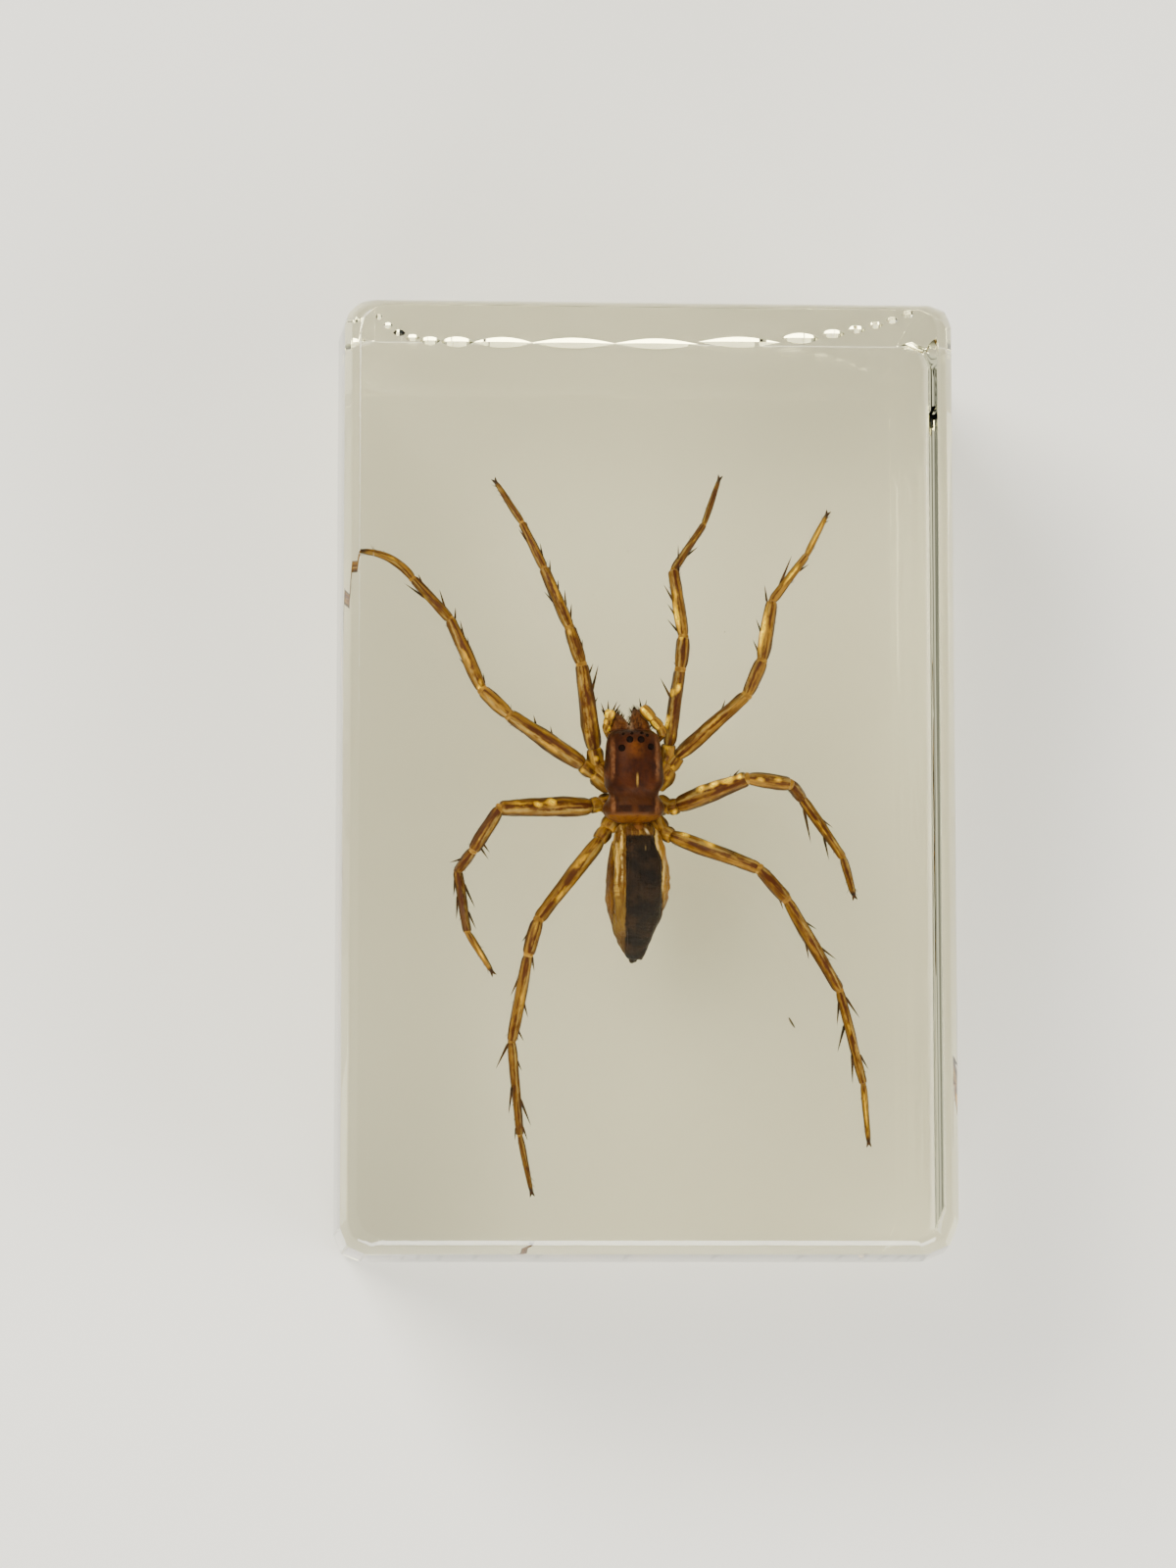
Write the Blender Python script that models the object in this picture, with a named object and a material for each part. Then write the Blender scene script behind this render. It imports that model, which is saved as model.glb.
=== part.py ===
"""Paperweight-size specimen block: one clear cast resin block that lies on its back face.

The spider is sealed in the resin, so the block is the only solid. Units are metres, +Z up.
The block's width runs along X, its length along Y and its thickness along Z. The origin is
the middle of the flat back face that it rests on.
"""
import bpy
import bmesh
from mathutils import Matrix

MM = 0.001

# driving dimensions
BLOCK_WIDTH = 28.5 * MM        # X
BLOCK_LENGTH = 44.0 * MM       # Y
BLOCK_THICKNESS = 17.0 * MM    # Z
FACE_CHAMFER = 1.00 * MM       # 45 degree chamfer round the front and back faces, along each leg
HEAD_CHAMFER = 0.55 * MM       # the same at the head end (+Y), which was ground less
CORNER_CHAMFER = 1.30 * MM     # chamfer of the four upright corners, along each leg
POLISH_RADIUS = 0.12 * MM      # the small round that hand polishing leaves on every chamfer's edge
POLISH_SEGMENTS = 2
SHARP_ANGLE = 0.35             # radians: flatter edges than this are shaded smooth

RESIN_COLOUR = (0.93, 0.92, 0.86, 1.0)
RESIN_ROUGHNESS = 0.03
RESIN_IOR = 1.50


def clear_scene():
    for obj in list(bpy.data.objects):
        bpy.data.objects.remove(obj, do_unlink=True)


def resin_material():
    material = bpy.data.materials.new("clear_resin")
    material.use_nodes = True
    shader = material.node_tree.nodes["Principled BSDF"]
    shader.inputs["Base Color"].default_value = RESIN_COLOUR
    shader.inputs["Roughness"].default_value = RESIN_ROUGHNESS
    shader.inputs["Metallic"].default_value = 0.0
    shader.inputs["IOR"].default_value = RESIN_IOR
    shader.inputs["Transmission Weight"].default_value = 1.0
    return material


def is_upright(edge):
    low, high = sorted(vert.co.z for vert in edge.verts)
    return high - low > BLOCK_THICKNESS / 2


def on_large_face(edge):
    heights = [vert.co.z for vert in edge.verts]
    at_back = max(heights) < FACE_CHAMFER / 2
    at_front = min(heights) > BLOCK_THICKNESS - FACE_CHAMFER / 2
    return at_back or at_front


def chamfer(mesh, edges, width):
    bmesh.ops.bevel(mesh, geom=edges, offset=width, offset_type='OFFSET', segments=1,
                    profile=0.5, affect='EDGES', clamp_overlap=True)


def narrow_head_chamfer(mesh):
    spare = FACE_CHAMFER - HEAD_CHAMFER
    middle = BLOCK_THICKNESS / 2
    for vert in mesh.verts:
        side = 1.0 if vert.co.z > middle else -1.0
        at_end = vert.co.y > BLOCK_LENGTH / 2 - HEAD_CHAMFER / 2
        on_face = abs(vert.co.z - middle) > middle - HEAD_CHAMFER / 2
        near_end = vert.co.y > BLOCK_LENGTH / 2 - FACE_CHAMFER - HEAD_CHAMFER / 2
        if at_end:
            vert.co.z += side * spare
        elif on_face and near_end:
            vert.co.y += spare


def block_mesh():
    mesh = bmesh.new()
    size = Matrix.Diagonal((BLOCK_WIDTH, BLOCK_LENGTH, BLOCK_THICKNESS, 1.0))
    lift = Matrix.Translation((0.0, 0.0, BLOCK_THICKNESS / 2))
    bmesh.ops.create_cube(mesh, size=1.0, matrix=lift @ size)
    chamfer(mesh, [edge for edge in mesh.edges if is_upright(edge)], CORNER_CHAMFER)
    chamfer(mesh, [edge for edge in mesh.edges if on_large_face(edge)], FACE_CHAMFER)
    narrow_head_chamfer(mesh)
    bmesh.ops.recalc_face_normals(mesh, faces=mesh.faces)
    data = bpy.data.meshes.new("resin_block")
    mesh.to_mesh(data)
    mesh.free()
    return data


def resin_block():
    block = bpy.data.objects.new("resin_block", block_mesh())
    bpy.context.collection.objects.link(block)
    block.data.materials.append(resin_material())
    polish = block.modifiers.new("polished_edges", 'BEVEL')
    polish.width = POLISH_RADIUS
    polish.segments = POLISH_SEGMENTS
    polish.limit_method = 'ANGLE'
    polish.angle_limit = SHARP_ANGLE
    block.data.shade_smooth()
    block.data.set_sharp_from_angle(angle=SHARP_ANGLE)
    return block


clear_scene()
resin_block()
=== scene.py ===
import math
import random

import bpy
from mathutils import Matrix, Vector, noise


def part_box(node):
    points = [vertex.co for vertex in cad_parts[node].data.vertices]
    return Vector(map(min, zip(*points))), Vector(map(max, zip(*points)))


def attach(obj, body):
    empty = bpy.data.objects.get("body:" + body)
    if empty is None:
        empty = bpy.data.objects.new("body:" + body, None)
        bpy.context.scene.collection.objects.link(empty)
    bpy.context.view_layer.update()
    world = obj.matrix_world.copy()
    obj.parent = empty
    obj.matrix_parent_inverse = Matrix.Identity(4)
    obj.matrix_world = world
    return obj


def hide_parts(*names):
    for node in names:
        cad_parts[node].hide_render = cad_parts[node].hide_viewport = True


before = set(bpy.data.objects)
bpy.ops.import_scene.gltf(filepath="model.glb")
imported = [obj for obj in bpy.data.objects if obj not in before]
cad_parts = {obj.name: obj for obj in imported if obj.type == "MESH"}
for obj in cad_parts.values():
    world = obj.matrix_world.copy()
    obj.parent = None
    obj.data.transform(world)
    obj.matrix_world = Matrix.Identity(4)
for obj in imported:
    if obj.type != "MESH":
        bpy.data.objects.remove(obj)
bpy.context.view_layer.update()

mm = 0.001
up = Vector((0.0, 0.0, 1.0))
blockLow, blockHigh = (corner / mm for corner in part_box("resin_block"))


# shader fields: Python operators add the Math nodes, made() adds any other node

class Field:
    def __init__(self, tree, socket=None):
        self.tree = tree
        self.socket = socket

    def made(self, kind, settings=None, sockets=None, output=0):
        node = self.tree.nodes.new(kind)
        for name, value in (settings or {}).items():
            setattr(node, name, value)
        for name, value in (sockets or {}).items():
            if isinstance(value, Field):
                self.tree.links.new(value.socket, node.inputs[name])
            else:
                node.inputs[name].default_value = value
        return Field(self.tree, node.outputs[output])

    def math(self, operation, first, second=0.0):
        return self.made("ShaderNodeMath", {"operation": operation}, {0: first, 1: second})

    def __add__(self, other):
        return self.math("ADD", self, other)

    def __radd__(self, other):
        return self.math("ADD", other, self)

    def __sub__(self, other):
        return self.math("SUBTRACT", self, other)

    def __rsub__(self, other):
        return self.math("SUBTRACT", other, self)

    def __mul__(self, other):
        return self.math("MULTIPLY", self, other)

    def __rmul__(self, other):
        return self.math("MULTIPLY", other, self)

    def size(self):
        return self.math("ABSOLUTE", self)

    def larger(self, other):
        return self.math("MAXIMUM", self, other)

    def ramp(self, low, high, start=0.0, end=1.0):  # smooth step between two values
        settings = {"interpolation_type": "SMOOTHSTEP"}
        sockets = {"Value": self, "From Min": low, "From Max": high, "To Min": start, "To Max": end}
        return self.made("ShaderNodeMapRange", settings, sockets)

    def near(self, middle, reach):  # 1 at the middle, 0 at the reach on either side
        return (self - middle).size().ramp(reach, 0.0)

    def blend(self, colourA, colourB):  # this field is the share of the second colour
        sockets = {0: self, 6: rgba(colourA), 7: rgba(colourB)}
        return self.made("ShaderNodeMix", {"data_type": "RGBA", "clamp_factor": True}, sockets, 2)

    def part(self, index):
        return self.made("ShaderNodeSeparateXYZ", {}, {"Vector": self}, index)

    def stretched(self, scale):
        return self.made("ShaderNodeMapping", {}, {"Vector": self, "Scale": scale})

    def clouds(self, scale, detail=2.0, roughness=0.5):
        sockets = {"Vector": self, "Scale": scale, "Detail": detail, "Roughness": roughness}
        return self.made("ShaderNodeTexNoise", {}, sockets)


def rgba(colour):
    return colour if isinstance(colour, Field) or len(colour) == 4 else (*colour, 1.0)


def newMaterial(name, settings):
    material = bpy.data.materials.new(name)
    material.use_nodes = True
    shader = material.node_tree.nodes["Principled BSDF"]
    for socket, value in settings.items():
        shader.inputs[socket].default_value = value
    return material, shader, Field(material.node_tree)


def objectPlace(field):  # the piece's own coordinates, in millimetres
    place = field.made("ShaderNodeTexCoord", {}, {}, 3)
    return place.stretched((1 / mm, 1 / mm, 1 / mm))


def attribute(field, name):
    return field.made("ShaderNodeAttribute", {"attribute_name": name}, {}, 1)


def mottled(name, settings, scale, low, dark, light):  # one colour in darker and lighter patches
    material, shader, field = newMaterial(name, settings)
    patches = objectPlace(field).clouds(scale, 2.0)
    plug(patches.ramp(low, 0.7).blend(dark, light), shader, "Base Color")
    return material, shader, patches


def plug(field, shader, socket):
    field.tree.links.new(field.socket, shader.inputs[socket])


def plugBump(height, shader, strength, distance):
    sockets = {"Strength": strength, "Distance": distance * mm, "Height": height}
    plug(height.made("ShaderNodeBump", {}, sockets), shader, "Normal")


# modelling helpers, all sizes in millimetres

def mode(name):
    bpy.ops.object.mode_set(mode=name)


def applyPlace():
    bpy.ops.object.transform_apply(location=True, rotation=True, scale=True)


def selectAll():  # in edit mode
    bpy.ops.mesh.select_all(action="SELECT")


def deselectAll():
    if bpy.context.mode != "OBJECT":
        mode("OBJECT")
    bpy.ops.object.select_all(action="DESELECT")


def onlySelect(*pieces):
    deselectAll()
    for piece in pieces:
        piece.select_set(True)
    bpy.context.view_layer.objects.active = pieces[0]


def addToScene(piece):
    bpy.context.scene.collection.objects.link(piece)


def named(name):
    piece = bpy.context.object
    piece.name = name
    piece.data.name = name
    return piece


def applyModifier(piece, kind, **settings):
    onlySelect(piece)
    modifier = piece.modifiers.new(kind.lower(), kind)
    for name, value in settings.items():
        setattr(modifier, name, value)
    bpy.ops.object.modifier_apply(modifier=modifier.name)


def smoothed(piece, levels=1):
    if levels:
        applyModifier(piece, "SUBSURF", levels=levels, render_levels=levels)
    onlySelect(piece)
    bpy.ops.object.shade_smooth()
    return piece


def joined(name, pieces):
    onlySelect(*pieces)
    if len(pieces) > 1:
        bpy.ops.object.join()
    return named(name)


def finished(piece, material):
    if not piece.data.materials:
        piece.data.materials.append(material)
    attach(piece, "root")
    return piece


def swell(sides):  # makes up for what subdivision takes off a ring of few sides
    return 3.0 / (2.0 + math.cos(2 * math.pi / sides))


def grown(name, stations, sides=12):
    # a skin grown ring by ring: each station is a centre, a half width and a half height
    centre, across, height = stations[0]
    centre = Vector(centre)
    across, height = across * swell(sides), height * swell(sides)
    axis = (Vector(stations[-1][0]) - centre).normalized()
    upright = abs(axis.y) > 0.999   # body rings keep their height along Z
    turn = axis.to_track_quat("Z", "Y").to_euler()
    deselectAll()
    bpy.ops.mesh.primitive_circle_add(vertices=sides, radius=across * mm, fill_type="NGON",
                                      location=centre * mm, rotation=turn)
    mode("EDIT")
    selectAll()
    if upright:
        bpy.ops.transform.resize(value=(1, 1, height / across), center_override=centre * mm)
    for before, after in zip(stations, stations[1:]):
        step = (Vector(after[0]) - Vector(before[0])) * mm
        wider, taller = after[1] / before[1], after[2] / before[2]
        growth = (wider, 1.0, taller) if upright else (wider, wider, wider)
        bpy.ops.mesh.extrude_region_move(TRANSFORM_OT_translate={"value": step})
        bpy.ops.transform.resize(value=growth, center_override=Vector(after[0]) * mm)
    selectAll()
    bpy.ops.mesh.normals_make_consistent(inside=False)
    mode("OBJECT")
    applyPlace()
    return named(name)


# the block: one casting, chamfered round its front face and softly rolled round its back face

block = {
    "corners": [             # side in x, end in y, size in mm and facets of each upright corner
        (-1, 1, 1.3, 3), (1, 1, 1.0, 2), (-1, -1, 1.2, 2), (1, -1, 1.5, 2),
    ],
    "levels": [              # z and how far the outline is drawn in there, from back to front, in mm
        (0.0, 0.3), (0.023, 0.185), (0.088, 0.088), (0.185, 0.023), (0.3, 0.0),
        (12.2, 0.0), (16.05, 0.3), (16.68, 0.62), (17.0, 1.0),
    ],
    "headShare": 0.54,       # how much of the front chamfer the head end takes
    "edgeRound": 0.1,        # mm, the polish on every chamfer's edge
    "polishFrom": 0.35,      # mm above the back face, where the polish starts
    "polishAngle": 17,       # degrees, the bluntest edge that is polished
    "sharpAngle": 26,        # degrees, the bluntest edge that is shaded sharp
    # short grooves are ground into the head end and climb towards its corners. each is given by
    # where it ends in x and its height, in mm, from the start at the left. 0 leaves the wall whole
    "strokeStart": -12.66,
    "strokes": [
        (-12.56, 0.0), (-12.2, 8.6), (-11.7, 5.6), (-11.1, 3.1), (-10.4, 1.4), (-9.4, 0.4),
        (-7.8, 0.08), (-5.0, 0.06), (-1.0, 0.06), (3.0, 0.1), (6.9, 1.0), (8.7, 2.6), (9.8, 4.3),
        (10.7, 5.9), (11.4, 7.5), (12.0, 9.2), (12.6, 11.0), (12.7, 0.0),
    ],
    "strokeWidth": 0.25,     # mm, the widest ground facet
    "strokeLeast": 0.004,    # mm, the facet where two strokes meet
    "strokeGap": 0.02,       # mm from the end of one stroke to the start of the next
    "strokeStep": 0.2,       # mm between the cuts along a stroke
    "strokeFoot": 0.03,      # mm, the edge under the strokes
    "rollReach": 0.31,       # mm from the edge within which the roll's vertices lie
    "ior": 1.5,
    "tint": (0.99, 0.972, 0.8),
    "tintDensity": 58.0,     # per metre
}


def resinMaterial():
    settings = {"Base Color": (1.0, 1.0, 1.0, 1.0), "Roughness": 0.0, "IOR": block["ior"],
                "Transmission Weight": 1.0}
    material, shader, field = newMaterial("clear_resin", settings)
    plugBump(objectPlace(field).clouds(0.09, 1.0), shader, 0.25, 0.02)
    tint = {"Color": rgba(block["tint"]), "Density": block["tintDensity"]}
    absorb = field.made("ShaderNodeVolumeAbsorption", {}, tint)
    plug(absorb, material.node_tree.nodes["Material Output"], "Volume")
    return material


def resinBlock():
    size = blockHigh - blockLow
    deselectAll()
    bpy.ops.mesh.primitive_plane_add(size=1.0, location=(0, 0, 0))
    piece = named("resin_casting")
    piece.scale = (size.x * mm, size.y * mm, 1.0)
    applyPlace()
    for sideX, endY, cut, facets in block["corners"]:
        selectCorner(piece, sideX, endY)
        bpy.ops.mesh.bevel(offset=cut * mm, segments=facets, profile=0.5, affect="VERTICES")
    selectAll()
    bpy.ops.mesh.select_mode(type="FACE")
    height, width, length, middle = 0.0, size.x, size.y, 0.0
    for level, drawnIn in block["levels"]:
        head = drawnIn * (block["headShare"] if level > 2.0 else 1.0)
        newWidth, newLength = size.x - 2 * drawnIn, size.y - drawnIn - head
        newMiddle = (drawnIn - head) / 2
        step = Vector((0.0, newMiddle - middle, level - height)) * mm
        if level > 0.0:
            bpy.ops.mesh.extrude_region_move(TRANSFORM_OT_translate={"value": step})
        else:
            bpy.ops.transform.translate(value=step)
        bpy.ops.transform.resize(value=(newWidth / width, newLength / length, 1.0),
                                 center_override=Vector((0.0, newMiddle, level)) * mm)
        height, width, length, middle = level, newWidth, newLength, newMiddle
    selectAll()
    bpy.ops.mesh.normals_make_consistent(inside=False)
    polishEdges(piece)
    grindHeadEdge(piece, size)
    onlySelect(piece)
    bpy.ops.object.shade_smooth()
    mode("EDIT")
    selectSharp(block["sharpAngle"])
    bpy.ops.mesh.mark_sharp()
    mode("OBJECT")
    applyModifier(piece, "WEIGHTED_NORMAL", weight=80, keep_sharp=True)
    return piece


def selectSharp(degrees):
    bpy.ops.mesh.select_mode(type="EDGE")
    bpy.ops.mesh.select_all(action="DESELECT")
    bpy.ops.mesh.edges_select_sharp(sharpness=math.radians(degrees))


def polishEdges(piece):  # rounds every edge but those of the back face
    selectSharp(block["polishAngle"])
    mode("OBJECT")
    low = block["polishFrom"] * mm
    for edge in piece.data.edges:
        if any(piece.data.vertices[index].co.z < low for index in edge.vertices):
            edge.select = False
    mode("EDIT")
    bpy.ops.mesh.bevel(offset=block["edgeRound"] * mm, segments=2, affect="EDGES")
    mode("OBJECT")


def selectCorner(piece, sideX, endY):
    mode("EDIT")
    bpy.ops.mesh.select_mode(type="VERT")
    bpy.ops.mesh.select_all(action="DESELECT")
    mode("OBJECT")
    corner = max(piece.data.vertices, key=lambda vert: vert.co.x * sideX + vert.co.y * endY)
    corner.select = True
    mode("EDIT")


def grindHeadEdge(piece, size):
    strokes = []             # each as its start, its end and its height
    start = block["strokeStart"]
    for end, lift in block["strokes"]:
        strokes.append((start + block["strokeGap"], end, lift))
        start = end
    onlySelect(piece)
    mode("EDIT")
    for start, end, lift in strokes:
        steps = max(4, round((end - start) / block["strokeStep"]))
        for step in range(steps + 1):
            cut = start + (end - start) * step / steps
            selectAll()
            bpy.ops.mesh.bisect(plane_co=(cut * mm, 0, 0), plane_no=(1, 0, 0), threshold=0.000001)
    mode("OBJECT")
    first, last = strokes[0][0] - block["strokeLeast"], strokes[-1][1] + block["strokeLeast"]
    profiles = {}            # the vertices of each cut, by x
    for vert in piece.data.vertices:
        place = vert.co / mm
        nearEdge = max(place.z, size.y / 2 - place.y) < block["rollReach"]
        if nearEdge and first <= place.x <= last:
            profiles.setdefault(round(place.x, 2), []).append(vert)
    foot = block["strokeFoot"]
    for x, profile in profiles.items():
        start, end, lift = min(strokes, key=lambda stroke: max(stroke[0] - x, x - stroke[1], 0.0))
        length = end - start
        wave = math.sin(math.pi * max(0.0, min(1.0, (x - start) / length)))
        wave = wave ** min(1.0, 0.4 + length / 6)   # short strokes are blunter
        width = block["strokeLeast"]
        if lift > 0:
            width += block["strokeWidth"] * wave * min(1.0, 0.4 + length / 2.5)
        rows = [(foot, 0.0), (0.0, max(foot, lift - width)), (width, max(lift, 0.05)),
                (0.0, lift + width), (0.0, lift + width + 0.15)]
        profile.sort(key=lambda vert: vert.co.y + vert.co.z)   # from the back face to the end wall
        for vert, (fromEnd, height) in zip(profile, rows):
            vert.co.y = (size.y / 2 - fromEnd) * mm
            vert.co.z = height * mm


# the legs. joints run from body to tip: femur, patella, tibia, metatarsus, tarsus, in mm.
# spines are: segment, share along it, side (+1 is the left as the leg points), length, lean in
# degrees.
# gleams are: segment, share along it, place across (-1 left to 1 right), half length in mm and
# strength.
# tones run from 0, dark brown, to 1, gold, one for each segment.

legs = {
    "front_left": {
        "hip": [(-1.35, 0.2, 7.9), (-2.1, 1.0, 8.1), (-2.3, 1.75, 8.3)],
        "joints": [(-2.3, 1.7, 8.3), (-2.9, 5.6, 9.3), (-3.45, 7.3, 9.3), (-4.65, 10.15, 8.9),
                   (-5.65, 12.3, 8.5), (-6.9, 14.3, 8.1)],
        "widths": [0.84, 0.66, 0.6, 0.46, 0.34],
        "tones": [0.45, 0.4, 0.5, 0.45, 0.3],
        "spines": [(0, 0.52, -1, 0.35, 34), (0, 0.68, -1, 1.15, 22), (0, 0.89, -1, 0.44, 29),
                   (1, 0.38, -1, 0.4, 20), (2, 0.14, -1, 0.6, 27), (2, 0.32, -1, 0.74, 19),
                   (2, 0.61, -1, 0.4, 22), (2, 0.93, -1, 0.45, 22), (3, 0.65, 1, 0.56, 12),
                   (2, 0.45, 1, 0.6, 20), (3, 0.2, -1, 0.6, 18)],
        "gleams": [(0, 0.25, -0.5, 0.5, 0.3), (2, 0.55, 0.4, 0.6, 0.4), (1, 0.9, -0.3, 0.15, 0.5)],
    },
    "front_right": {
        "hip": [(0.6, 0.2, 7.9), (1.1, 1.2, 8.1), (1.2, 1.95, 8.3)],
        "joints": [(1.2, 1.9, 8.3), (1.7, 5.4, 9.3), (1.85, 6.9, 9.3), (1.4, 10.1, 8.9),
                   (2.85, 12.3, 8.5), (3.6, 14.5, 8.2)],
        "widths": [0.68, 0.66, 0.62, 0.4, 0.3],
        "tones": [0.3, 0.45, 0.5, 0.25, 0.2],
        "spines": [(2, 0.96, -1, 1.13, 8), (2, 0.54, 1, 0.8, 24), (2, 0.32, 1, 0.62, 29),
                   (2, 0.09, 1, 0.68, 35), (0, 0.62, 1, 0.98, 36), (3, 0.35, -1, 0.6, 18)],
        "gleams": [(2, 0.32, -0.55, 0.55, 1.0), (1, 0.98, -0.4, 0.12, 0.9), (0, 0.69, -0.7, 0.12, 1.0),
                   (0, 0.77, 0.1, 0.16, 1.0), (0, 0.3, -0.8, 0.28, 1.0), (2, 0.62, -0.4, 0.2, 0.6)],
    },
    "second_left": {
        "hip": [(-1.45, -0.1, 7.8), (-2.25, 0.6, 8.0), (-2.85, 1.0, 8.2)],
        "joints": [(-2.8, 1.0, 8.2), (-6.25, 3.2, 9.3), (-7.5, 4.35, 9.3), (-9.0, 7.7, 8.9),
                   (-10.7, 9.6, 8.6), (-13.15, 10.95, 8.3)],
        "widths": [0.86, 0.68, 0.64, 0.52, 0.44],
        "tones": [0.5, 0.75, 0.55, 0.4, 0.6],
        "spines": [(3, 0.87, -1, 0.34, 20), (3, 0.6, 1, 1.02, 14), (3, 0.23, -1, 0.77, 26),
                   (2, 0.98, -1, 0.46, 27), (2, 0.71, -1, 0.73, 14), (2, 0.54, -1, 0.56, 14),
                   (2, 0.07, -1, 0.42, 18), (0, 0.69, -1, 0.43, 41), (0, 0.47, -1, 0.42, 44),
                   (2, 0.35, 1, 0.5, 20)],
        "gleams": [(2, 0.02, -0.4, 0.12, 1.0), (2, 0.1, 0.2, 0.2, 0.5), (2, 0.45, -0.2, 0.5, 0.5),
                   (0, 0.45, -0.5, 0.6, 0.4), (4, 0.5, 0.1, 0.3, 0.3)],
        "arch": (0.22, 0.3, 0.0),
    },
    "second_right": {
        "hip": [(0.65, -0.1, 7.8), (1.25, 0.85, 8.0), (1.65, 1.4, 8.2)],
        "joints": [(1.6, 1.4, 8.2), (4.8, 4.2, 9.3), (5.5, 5.8, 9.4), (6.0, 8.65, 9.0),
                   (7.65, 10.85, 8.7), (8.65, 12.85, 8.4)],
        "widths": [0.72, 0.66, 0.64, 0.44, 0.32],
        "tones": [0.5, 0.5, 0.6, 0.65, 0.75],
        "spines": [(3, 0.31, 1, 1.32, 15), (2, 0.98, 1, 0.68, 18), (2, 0.45, 1, 0.62, 31),
                   (2, 0.13, 1, 0.57, 38), (0, 0.7, 1, 0.45, 30), (3, 0.7, -1, 0.5, 20)],
        "gleams": [(2, 0.48, -0.6, 0.8, 1.0), (4, 0.45, 0.0, 0.75, 0.8), (3, 0.55, -0.1, 0.5, 0.9),
                   (0, 0.55, -0.3, 0.5, 0.4)],
    },
    "third_left": {
        "hip": [(-1.35, -0.7, 7.8), (-2.0, -0.85, 8.0), (-2.45, -0.95, 8.2)],
        "joints": [(-2.4, -0.95, 8.2), (-6.7, -1.15, 9.5), (-7.9, -3.1, 9.2), (-8.6, -3.95, 7.7),
                   (-8.15, -6.85, 8.3), (-7.0, -8.7, 8.5)],
        "widths": [0.92, 0.66, 0.52, 0.5, 0.36],
        "tones": [0.45, 0.25, 0.15, 0.2, 0.55],
        "spines": [(1, 0.78, 1, 0.51, 70), (1, 0.88, 1, 0.58, 66), (3, 0.22, 1, 1.2, 16),
                   (3, 0.68, 1, 0.83, 15), (3, 0.13, -1, 0.82, 14), (3, 0.41, -1, 1.0, 12),
                   (2, 0.5, -1, 0.6, 30)],
        "gleams": [(0, 0.46, 0.5, 0.16, 1.0), (0, 0.61, 0.3, 0.16, 1.0), (0, 0.8, 0.4, 0.3, 0.5),
                   (4, 0.5, 0.0, 0.4, 0.6)],
    },
    "third_right": {
        "hip": [(0.6, -0.7, 7.8), (1.2, -1.0, 8.0), (1.65, -0.9, 8.2)],
        "joints": [(1.6, -0.9, 8.2), (4.8, 0.3, 9.5), (6.8, 0.05, 9.4), (7.4, -0.5, 8.1),
                   (9.3, -3.3, 8.4), (9.8, -5.1, 8.5)],
        "widths": [0.92, 0.72, 0.62, 0.52, 0.4],
        "tones": [0.35, 0.5, 0.15, 0.45, 0.45],
        "spines": [(0, 0.85, 1, 0.39, 25), (3, 0.14, -1, 1.5, 24), (3, 0.62, -1, 1.03, 24),
                   (3, 0.4, 1, 0.6, 18)],
        "gleams": [(0, 0.4, -0.7, 0.15, 1.0), (0, 0.58, -0.7, 0.2, 1.0), (0, 0.78, -0.6, 0.3, 1.0),
                   (0, 0.93, -0.5, 0.1, 1.0), (1, 0.3, 0.0, 0.2, 0.6), (1, 0.7, -0.3, 0.15, 0.6),
                   (3, 0.5, 0.2, 0.5, 0.4)],
    },
    "rear_left": {
        "hip": [(-1.15, -1.2, 7.8), (-1.7, -2.0, 8.0), (-2.05, -2.55, 8.2)],
        "joints": [(-2.0, -2.5, 8.2), (-4.9, -6.3, 9.3), (-5.35, -7.9, 9.3), (-6.1, -11.9, 8.6),
                   (-5.7, -16.2, 8.2), (-5.15, -18.85, 8.0)],
        "widths": [0.76, 0.64, 0.58, 0.46, 0.3],
        "tones": [0.6, 0.45, 0.45, 0.3, 0.3],
        "spines": [(1, 0.39, -1, 0.58, 23), (2, 0.02, 1, 0.6, 20), (2, 0.27, -1, 0.87, 14),
                   (2, 0.54, 1, 0.66, 27), (2, 0.87, 1, 0.47, 39), (3, 0.02, -1, 1.15, 32),
                   (3, 0.47, -1, 1.2, 14), (3, 0.62, 1, 1.2, 18), (3, 0.91, 1, 0.6, 16),
                   (3, 0.92, -1, 0.5, 10), (3, 0.2, 1, 0.5, 20)],
        "gleams": [(0, 0.3, 0.2, 0.5, 0.4), (0, 0.7, -0.3, 0.5, 0.4), (2, 0.5, -0.4, 0.6, 0.4)],
    },
    "rear_right": {
        "hip": [(0.45, -1.3, 7.8), (0.9, -2.1, 8.0), (1.35, -2.35, 8.2)],
        "joints": [(1.3, -2.3, 8.2), (5.35, -3.9, 9.3), (6.6, -5.3, 9.3), (9.1, -9.5, 8.6),
                   (10.2, -13.8, 8.2), (10.45, -16.55, 8.0)],
        "widths": [0.78, 0.66, 0.6, 0.48, 0.32],
        "tones": [0.5, 0.35, 0.4, 0.5, 0.65],
        "spines": [(1, 0.9, -1, 0.44, 24), (2, 0.28, 1, 0.55, 27), (2, 0.44, -1, 0.74, 22),
                   (2, 0.55, 1, 0.84, 23), (3, 0.08, 1, 1.05, 20), (3, 0.11, -1, 1.0, 22),
                   (3, 0.36, -1, 1.18, 30), (3, 0.67, -1, 1.25, 16), (3, 0.7, 1, 0.7, 16)],
        "gleams": [(0, 0.15, -0.75, 0.15, 1.0), (0, 0.44, -0.6, 0.2, 0.8), (4, 0.45, 0.1, 0.8, 0.7),
                   (3, 0.4, 0.1, 0.4, 0.4)],
    },
}
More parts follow.
